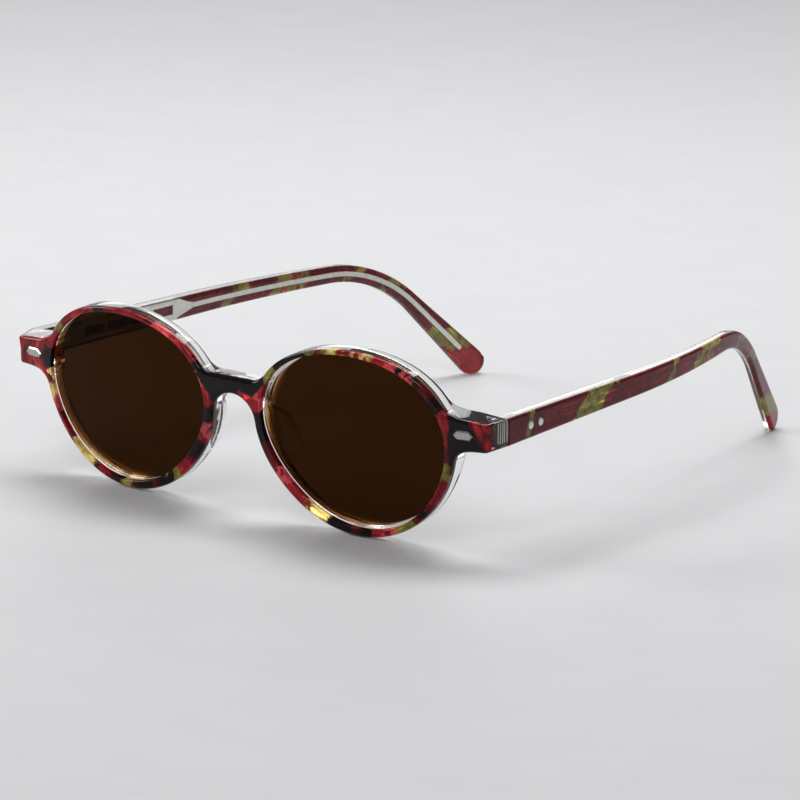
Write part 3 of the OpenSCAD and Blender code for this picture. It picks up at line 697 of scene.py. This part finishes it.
def corner_room(points, most):
    """How far a closed loop can be moved inwards without crossing itself at its tight corners."""
    before, after = points - np.roll(points, 1, 0), np.roll(points, -1, 0) - points
    bend = np.arctan2(before[:, 0] * after[:, 1] - before[:, 1] * after[:, 0], (before * after).sum(1))
    step = (np.linalg.norm(before, axis=1) + np.linalg.norm(after, axis=1)) / 2
    curve = np.clip(bend * winding(points) / step, 1e-3, None)
    room = np.minimum(most, 0.8 / curve)
    reach = range(-3, 4)
    room = np.min([np.roll(room, k) for k in reach], axis=0)
    return np.mean([np.roll(room, k) for k in reach], axis=0)


def layer(loops, rings, place):
    """A closed solid between two caps. Loops are (points, offsets) and each ring is (shares of the
    offset, depths), one array for each loop; place maps flat points and depths to the frame."""
    verts, depths, faces = [], [], []
    sizes = [len(p) for p, _ in loops]
    total = sum(sizes)
    for share, depth in rings:
        for i, (points, offsets) in enumerate(loops):
            verts.append(points - offsets * share[i][:, None])
            depths.append(depth[i])
    flat, deep = np.vstack(verts), np.concatenate(depths)
    for k in range(len(rings) - 1):
        at = k * total
        for n in sizes:
            for i in range(n):
                j = (i + 1) % n
                faces.append((at + i, at + j, at + total + j, at + total + i))
            at += n
    for k in (0, len(rings) - 1):
        ring = slice(k * total, (k + 1) * total)
        extra, tris = cap(np.split(flat[ring], np.cumsum(sizes)[:-1]))
        base = len(flat)
        mean = np.mean(deep[ring])
        flat, deep = np.vstack([flat, extra]), np.concatenate([deep, np.full(len(extra), mean)])
        faces += [tuple(k * total + v if v < total else base + v - total for v in t) for t in tris]
    return flat, faces, place(flat, deep)


def welded(mesh, reach, sharp):
    """Joins what lies closer than the reach, removes doubled flaps, faces all outward and shades the mesh."""
    bm = bmesh.new()
    bm.from_mesh(mesh)
    bmesh.ops.remove_doubles(bm, verts=bm.verts, dist=reach)
    bmesh.ops.dissolve_degenerate(bm, edges=bm.edges, dist=reach)
    bmesh.ops.triangulate(bm, faces=[face for face in bm.faces if len(face.verts) > 4])
    twins = {}
    for face in bm.faces:
        twins.setdefault(frozenset(face.verts), []).append(face)
    flaps = [face for pair in twins.values() if len(pair) > 1 for face in pair]
    bmesh.ops.delete(bm, geom=flaps, context="FACES")
    bmesh.ops.recalc_face_normals(bm, faces=bm.faces)
    bm.to_mesh(mesh)
    bm.free()
    mesh.shade_smooth()
    mesh.set_sharp_from_angle(angle=math.radians(sharp))


def to_object(name, points, faces, material, attributes=None):
    """A closed mesh object from points in metres."""
    mesh = bpy.data.meshes.new(name)
    mesh.from_pydata([tuple(p) for p in points], [], faces)
    for key, values in (attributes or {}).items():
        mesh.attributes.new(key, "FLOAT", "POINT").data.foreach_set("value", np.asarray(values, np.float32))
    welded(mesh, 1e-8, SHARP)
    mesh.materials.append(material)
    obj = bpy.data.objects.new(name, mesh)
    scene.collection.objects.link(obj)
    return obj


def flattened(obj, sharp=SHARP):
    """Applies an object's modifiers into a plain mesh."""
    bpy.context.view_layer.update()
    mesh = bpy.data.meshes.new_from_object(obj.evaluated_get(bpy.context.evaluated_depsgraph_get()))
    obj.modifiers.clear()
    obj.data = mesh
    welded(mesh, 2e-6, sharp)
    return obj


def cut(obj, *tools):
    """Takes the tools' shapes out of an object and removes the tools."""
    for tool in tools:
        m = obj.modifiers.new("cut", "BOOLEAN")
        m.operation, m.solver, m.object = "DIFFERENCE", "EXACT", tool
    flattened(obj)
    for tool in tools:
        bpy.data.objects.remove(tool)
    return obj


def barrel_room(side, steps=48):
    """Round space for the hinge barrels."""
    r, low, high = BARREL_R + BARREL_ROOM, -STACK_H / 2 - BARREL_ROOM, STACK_H / 2 + BARREL_ROOM
    profile = [(1e-4, low), (r, low), (r, high), (1e-4, high)]
    points, faces = [], []
    n = len(profile)
    for i in range(steps):
        a = 2 * math.pi * i / steps
        points += [(AXIS_X + q * math.cos(a), q * math.sin(a), h) for q, h in profile]
        for k in range(n - 1):
            here, there = i * n + k, ((i + 1) % steps) * n + k
            faces.append((here, there, there + 1, here + 1))
    return to_object("barrel_room", joint_to_table(points, side), faces, STEEL_LOOK)


ARC = [math.radians(v) for v in (0, 15, 32, 50, 70, 90)]


def round_rings(radius, back=None):
    """Rings of a rounded edge: from the face inwards, or out to the back at its depth."""
    rings = []
    for a in ARC:
        here, there = 1 - math.sin(a), 1 - math.cos(a)
        if back is None:
            rings.append(([r * here for r in radius], [r * there for r in radius]))
        else:
            rings.append(([r * there for r in radius], [back - r * here for r in radius]))
    return rings


# ---- the front


def smooth_share(x, low, high):
    """0 below low, 1 above high, eased between."""
    t = np.clip((x - low) / (high - low), 0, 1)
    return t * t * (3 - 2 * t)


def place_front(flat, depth):
    """Bends flat points of the front and thickens the clear layer behind the endpieces."""
    x, z = flat[:, 0], flat[:, 1]
    y = sag(x, depth)
    normal = JOINT @ np.array([0, 1.0, 0])
    seam = JOINT_Y - 0.02 - (normal[0] * (np.abs(x) - END_X) + normal[2] * (z - END_Z)) / normal[1]
    share = smooth_share(np.abs(x), END_X - BLOCK_L - BLOCK_SLOPE - 1.5, END_X - BLOCK_L + 0.5)
    skin, back = sag(x, FRONT_SKIN), sag(x, FRONT_T)
    back_there = back + share * (seam - back)
    clear = np.clip((depth - FRONT_SKIN) / FRONT_CLEAR, 0, 1)
    y = np.where(depth > FRONT_SKIN, skin + (back_there - skin) * clear, y)
    # the ends lean out from the face to the seam
    face = END_X - END_BEVEL
    lean = END_BEVEL * (y - float(sag(face))) / (JOINT_Y - float(sag(face)))
    lean = np.clip(lean, 0, None) * smooth_share(np.abs(x), face - 8, face - 0.5)
    z = END_Z + (z - END_Z) * (1 - END_TAPER * lean / (END_H / 2))
    return front_to_table(np.stack([x + np.sign(x) * lean, y, z], 1))


def front_plate():
    """The front's patterned layer and its clear layer."""
    outer = max(front_edge_loops(), key=lambda q: np.ptp(q[:, 0]))
    outer = even(eased(even(outer, 0.25), 1.8), EDGE_STEP)
    turns = np.linspace(0, 2 * math.pi, 400, endpoint=False)
    holes = [even((lens_point(turns) + [LENS_X, 0]) * [side, 1], EDGE_STEP) for side in (1, -1)]
    loops = [(outer, outward(outer))] + [(hole, outward(hole, hole=True)) for hole in holes]
    zeros, ones = [np.zeros(len(q)) for q, _ in loops], [np.ones(len(q)) for q, _ in loops]
    at_seam = smooth_share(np.abs(outer[:, 0]), END_X - BLOCK_L - 1, END_X - BLOCK_L + 2)
    rim = np.array([np.hypot(*(np.vstack(holes) - q).T).min() for q in outer])
    room = np.minimum(corner_room(outer, 1.05), rim - RIM_KEPT)
    face_r = [np.minimum(FACE_ROUND, room * FACE_SHARE)] + [q * HOLE_ROUND for q in ones[1:]]
    back_r = [np.minimum(BACK_ROUND + (SEAM_ROUND - BACK_ROUND) * at_seam, room * BACK_SHARE)]
    back_r += [q * HOLE_BACK_ROUND for q in ones[1:]]
    line = [q * FRONT_SKIN for q in ones]

    rings = [([r * FACE_FLAT for r in face_r], zeros)] + round_rings(face_r) + [(zeros, line)]
    _, faces, points = layer(loops, rings, place_front)
    skin = to_object("front_tortoise_layer", points, faces, FRONT_LOOK)

    rings = [([q * LAYER_INSET for q in ones], [q - LAYER_PLAY for q in line]), (zeros, line),
             (zeros, [q + 1.1 for q in line])]
    rings += round_rings(back_r, FRONT_T) + [([r * BACK_FLAT for r in back_r], [q * FRONT_T for q in ones])]
    _, faces, points = layer(loops, rings, place_front)
    clear = to_object("front_clear_layer", points, faces, FRONT_CLEAR_LOOK)
    return skin, cut(clear, barrel_room(1), barrel_room(-1))


# ---- the temples


def bow(y):
    """Inward shift of the outer face and the slope of the plan at a length y."""
    s = np.clip(y - BOW_START, 0, BOW_R * math.sin(BOW_A))
    x = np.sqrt(BOW_R ** 2 - s ** 2) - BOW_R
    past = np.clip(y - BOW_START - BOW_R * math.sin(BOW_A), 0, None)
    return x - past * math.tan(BOW_A), np.arcsin(s / BOW_R)


def place_temple(side):
    """Bends flat points of a temple with its bow and thins the clear layer towards the tip."""
    def place(flat, depth):
        y, z = flat[:, 0], flat[:, 1]
        x, slope = bow(y)
        thin = 1 - (1 - TIP_CLEAR / TEMPLE_CLEAR) * slope / BOW_A
        deep = np.where(depth > TEMPLE_SKIN, TEMPLE_SKIN + (depth - TEMPLE_SKIN) * thin, depth)
        return joint_to_table(np.stack([x - deep / np.cos(slope), y, z], 1), side)
    return place


def temple_loop():
    """Side outline of a temple from the seam: points, outward offsets and where the seam's run starts."""
    half, low = END_H / 2, BEND_H / 2

    def edge(up):
        radius = BEND_R + up * low
        straight = [(y, up * (half + (low - half) * y / TEMPLE_L)) for y in np.linspace(JOINT_GAP, TEMPLE_L, 190)]
        bend = np.linspace(0, BEND_A, 36)[1:]
        return straight + [(TEMPLE_L + radius * math.sin(a), radius * math.cos(a) - BEND_R) for a in bend]

    upper, lower = edge(1), edge(-1)
    end = np.array([TEMPLE_L + BEND_R * math.sin(BEND_A) + DROP_L * math.cos(BEND_A),
                    -BEND_R * (1 - math.cos(BEND_A)) - DROP_L * math.sin(BEND_A)])
    tip = [tuple(end + TIP_R * np.array([math.cos(a), math.sin(a)]))
           for a in np.linspace(math.pi / 2 - BEND_A, -math.pi / 2 - BEND_A, 26)]

    def between(p, q, n=44):
        return [tuple(np.array(p) + (np.array(q) - np.array(p)) * i / n) for i in range(1, n)]

    start = [(JOINT_GAP, z) for z in np.linspace(1.3 - half, half - 1.3, 8)]
    loop = upper + between(upper[-1], tip[0]) + tip + between(tip[-1], lower[-1]) + lower[::-1]
    front = len(loop)
    soft = np.array(loop + start)
    # eases the places where runs meet, but not the seam
    free = np.ones(len(soft), bool)
    free[:8] = free[front - 8:] = False
    for _ in range(4):
        mean = (np.roll(soft, 1, 0) + 2 * soft + np.roll(soft, -1, 0)) / 4
        soft[free] = mean[free]
    normal = outward(soft)
    normal[0], normal[front - 1] = (-1, 1), (-1, -1)
    return soft, normal, front


def length_along(flat):
    """Distance from the seam along the middle of the temple, and height across it."""
    y, z = flat[:, 0], flat[:, 1]
    angle = np.arctan2(y - TEMPLE_L, z + BEND_R)
    arc = TEMPLE_L + BEND_R * np.clip(angle, 0, BEND_A)
    past = (y - TEMPLE_L) * math.cos(BEND_A) - (z + BEND_R) * math.sin(BEND_A)
    along = np.where(y < TEMPLE_L, y, arc + np.clip(past, 0, None) * (angle >= BEND_A))
    drop = (y - TEMPLE_L) * math.sin(BEND_A) + (z + BEND_R) * math.cos(BEND_A) - BEND_R
    across = np.where(y < TEMPLE_L, z, np.where(angle < BEND_A, np.hypot(y - TEMPLE_L, z + BEND_R) - BEND_R, drop))
    return {"along": along, "across": across}


def temple_plates(side):
    """A temple's patterned layer and its clear layer."""
    name = "right" if side > 0 else "left"
    loop, normal, front = temple_loop()
    n = len(loop)
    big = TEMPLE_ROUND + (TIP_ROUND - TEMPLE_ROUND) * smooth_share(loop[:, 0], TIP_FROM, TIP_TO)
    big[front:] = SEAM_ROUND
    scale = np.ones((n, 2))
    scale[0] = scale[front - 1] = (SEAM_ROUND / big[0], 1)
    loops = [(loop, normal * scale)]
    zero, one = np.zeros(n), np.ones(n)

    most = TEMPLE_SKIN - 0.02
    rings = [([big + TEMPLE_FLAT], [zero])] + round_rings([big])
    rings = [(share, [np.minimum(depth[0], most)]) for share, depth in rings]
    rings.append(([zero], [one * TEMPLE_SKIN]))
    flat, faces, points = layer(loops, rings, place_temple(side))
    skin = to_object(f"temple_tortoise_layer_{name}", points, faces, TEMPLE_LOOK[side], length_along(flat))

    full = TEMPLE_T - LAYER_PLAY
    rings = [([one * LAYER_INSET], [one * (TEMPLE_SKIN - LAYER_PLAY)]), ([zero], [one * TEMPLE_SKIN]),
             ([zero], [one * (TEMPLE_SKIN + 0.7)])]
    inner = big * (1.1 + 0.7 * (normal[:, 1] > 0.3))
    inner[front:] = SEAM_ROUND
    rings += round_rings([inner], full) + [([inner + TEMPLE_FLAT], [one * full])]
    _, faces, points = layer(loops, rings, place_temple(side))
    clear = to_object(f"temple_clear_layer_{name}", points, faces, CLEAR_LOOK)
    return skin, cut(clear, barrel_room(side))


# ---- pieces

front_skin, front_clear = front_plate()
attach(front_skin, "front")
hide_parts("front_skin")
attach(front_clear, "front")
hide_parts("front_clear")

for side, name in ((1, "right"), (-1, "left")):
    skin, clear = temple_plates(side)
    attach(skin, f"temple_{name}")
    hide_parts(f"temple_skin_{name}")
    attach(clear, f"temple_{name}")
    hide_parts(f"temple_clear_{name}")


lens_shape, rivet_row = lens_recipe(), rivet_recipe()
TILT, REACH = math.asin(LENS_X / FRONT_R), LENS_SET + LENS_R
for side, name in ((1, "right"), (-1, "left")):
    points, faces = lens_shape.make(Width=LENS_W, Height=LENS_H, Drop=LENS_DROP, Lean=LENS_LEAN, Room=LENS_ROOM,
                                    Tongue_height=TONGUE_D, Thickness=LENS_T, Face_radius=LENS_R,
                                    Centre_across=-math.sin(TILT) * REACH, Centre_depth=math.cos(TILT) * REACH,
                                    Material=LENS_LOOK)
    points = front_to_table((points + [LENS_X, float(sag(LENS_X)), 0]) * [side, 1, 1])
    lens = to_object(f"lens_{name}_brown", points, faces, LENS_LOOK)
    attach(lens, "front")
    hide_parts(f"lens_{name}")
    points, faces = rivet_row.make(Width=2 * RIVET_HEAD_R, Height=2 * RIVET_HEAD_R, Drop=0.0, Lean=0.0,
                                   Thickness=HEAD_H + TEMPLE_T + PEEN_H, Count=2, Spacing=RIVET_GAP,
                                   Material=RIVET_LOOK)
    points = joint_to_table(np.stack([HEAD_H - points[:, 1], RIVET_START + points[:, 0], points[:, 2]], 1), side)
    rivets = to_object(f"temple_rivet_pair_{name}", points, faces, RIVET_LOOK)
    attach(rivets, f"temple_{name}")
    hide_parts(f"temple_rivets_{name}")


def tumbled_pad(node, voxel=0.0002, rounds=420):
    """A nose pad with its edges tumbled round; its foot on the rim keeps its outline."""
    pad = bpy.data.objects.new(f"{node}_tumbled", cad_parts[node].data.copy())
    scene.collection.objects.link(pad)
    bm = bmesh.new()
    bm.from_mesh(pad.data)
    bmesh.ops.remove_doubles(bm, verts=bm.verts, dist=2e-6)
    bm.to_mesh(pad.data)
    bm.free()
    remesh = pad.modifiers.new("remesh", "REMESH")
    remesh.mode, remesh.voxel_size = "VOXEL", voxel
    flattened(pad, sharp=180)
    at = table_to_front(np.array([v.co for v in pad.data.vertices]))
    above_foot = FRONT_R - FRONT_T - np.hypot(at[:, 0], at[:, 1] - FRONT_R)
    free = pad.vertex_groups.new(name="free")
    for i, weight in enumerate(smooth_share(above_foot, 0.15, 1.4)):
        free.add([i], float(weight), "REPLACE")
    smooth = pad.modifiers.new("smooth", "SMOOTH")
    smooth.factor, smooth.iterations, smooth.vertex_group = 0.5, rounds, "free"
    flattened(pad, sharp=180)
    pad.vertex_groups.clear()
    pad.data.materials.clear()
    pad.data.materials.append(CLEAR_LOOK)
    return pad


for name in ("right", "left"):
    pad = tumbled_pad(f"nose_pad_{name}")
    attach(pad, "front")
    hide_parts(f"nose_pad_{name}")


def dress(node, material):
    """Gives a piece that is carried over from the CAD its own finish."""
    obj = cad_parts[node]
    obj.data.materials.clear()
    obj.data.materials.append(material)


for side in ("right", "left"):
    dress(f"plaque_{side}", POLISHED_LOOK)
    dress(f"front_hinge_{side}", ANCHOR_LOOK)
    dress(f"temple_hinge_{side}", STEEL_LOOK)
    dress(f"hinge_screw_{side}", POLISHED_LOOK)
    dress(f"core_wire_{side}", CORE_LOOK)

# ---- floor, light and camera

floor_mesh = bpy.data.meshes.new("floor")
floor_mesh.from_pydata([(-3, -3, 0), (3, -3, 0), (3, 3, 0), (-3, 3, 0)], [], [(0, 1, 2, 3)])
floor = bpy.data.objects.new("floor", floor_mesh)
scene.collection.objects.link(floor)
f = Finish("pale_floor")
grain = f.noise(f.coordinates(scale=(60, 60, 60)), 1.0, 4.0)
f.shader(Base_Color=f.ramp(grain, [(0.3, (0.6, 0.6, 0.61)), (0.7, (0.62, 0.62, 0.63))]), Roughness=0.6)
floor_mesh.materials.append(f.material)

world = bpy.data.worlds.new("studio")
scene.world = world
world.use_nodes = True
# rays from the camera and through clear pieces see a pale room, all others a dimmer one
sky = Nodes(world.node_tree)
rays = sky.node("LightPath").outputs
seen = sky.math("MAXIMUM", rays["Is Camera Ray"], rays["Is Transmission Ray"])
soft = sky.node("Background", {0: (0.95, 0.97, 1.0, 1), 1: 0.24}).outputs[0]
pale = sky.node("Background", {0: (0.7, 0.7, 0.71, 1), 1: 1.0}).outputs[0]
room = sky.node("MixShader", {0: seen, 1: soft, 2: pale}).outputs[0]
sky.node("OutputWorld", {0: room})


def softbox(name, place, width, height, power, aim=(0, 0, 0.02)):
    """A large soft light, in metres and watts."""
    light = bpy.data.lights.new(name, "AREA")
    light.shape, light.size, light.size_y, light.energy = "RECTANGLE", width, height, power
    obj = bpy.data.objects.new(name, light)
    obj.location = place
    obj.rotation_euler = (Vector(aim) - Vector(place)).to_track_quat("-Z", "Y").to_euler()
    scene.collection.objects.link(obj)


softbox("top_softbox", (-0.15, 0.25, 0.75), 0.6, 0.35, 5.0)
softbox("side_softbox", (-0.8, -0.35, 0.45), 0.4, 0.3, 3.0)
softbox("back_softbox", (-0.8, 1.05, 0.42), 1.1, 0.4, 2.6)
softbox("front_softbox", (0.4, -0.9, 0.9), 0.4, 0.4, 3.0)

# The camera was fitted to the edges in the photo
camera = bpy.data.objects.new("camera", bpy.data.cameras.new("camera"))
scene.collection.objects.link(camera)
camera.data.sensor_width = 36
camera.data.lens = 213.184
camera.data.clip_start, camera.data.clip_end = 0.05, 20
right, up, back = (0.79557, 0.60555, 0.01938), (-0.15248, 0.16916, 0.97372), (0.58636, -0.77762, 0.22691)
camera.matrix_world = Matrix.Translation((0.62036, -0.8372, 0.25516)) @ Matrix((right, up, back)).transposed().to_4x4()
scene.camera = camera
scene.view_settings.view_transform = "Standard"
